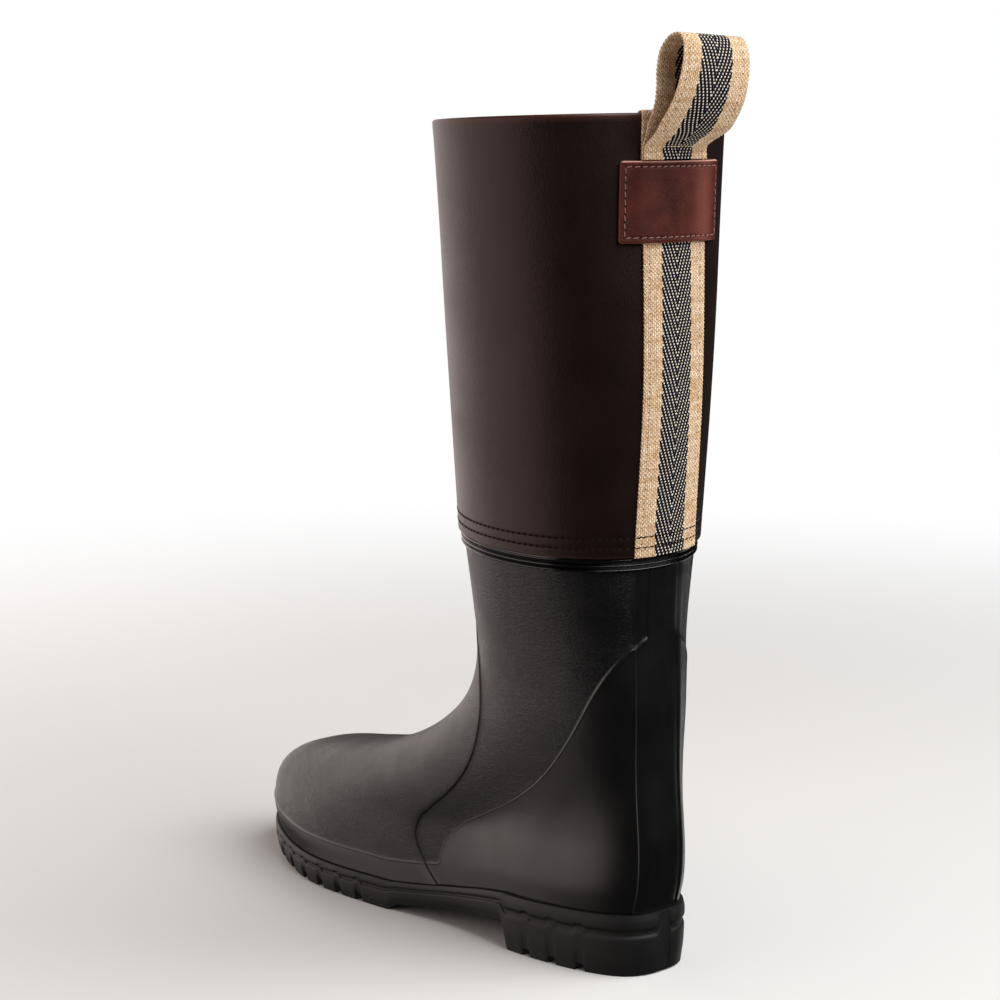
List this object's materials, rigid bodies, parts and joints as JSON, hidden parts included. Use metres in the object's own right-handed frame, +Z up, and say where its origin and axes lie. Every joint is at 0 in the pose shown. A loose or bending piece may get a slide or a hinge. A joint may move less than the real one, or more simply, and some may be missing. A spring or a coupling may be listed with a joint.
{
  "type": "rubber boot",
  "caption": "Tall rubber boot with a sewn-on leather shaft, striped webbing back strap and pull loop, stitched leather patch, lugged sole and insole; stands open and empty on its sole.",
  "frame": {"origin": "on the floor, under the middle of the boot's box", "axes": "+Z up the shaft, -Y towards the toe, +X towards the outer side of the left foot"},
  "size_m": [0.1358, 0.3192, 0.4258],
  "materials": {
    "sole_rubber": "moulded black rubber, matt",
    "upper_rubber": "moulded black rubber with a leather-like grain and a soft sheen",
    "insole_cloth": "grey-brown felted cloth",
    "shaft_leather": "smooth dark brown leather with a soft sheen",
    "webbing": "beige cotton webbing with a navy herringbone stripe",
    "patch_leather": "reddish brown leather, stitched round its edge"
  },
  "bodies": {
    "root": {"outsole": "sole_rubber", "rubber_foot": "upper_rubber", "insole": "insole_cloth", "leather_shaft": "shaft_leather", "back_strap": "webbing", "pull_loop": "webbing", "patch": "patch_leather"}
  },
  "joints": []
}
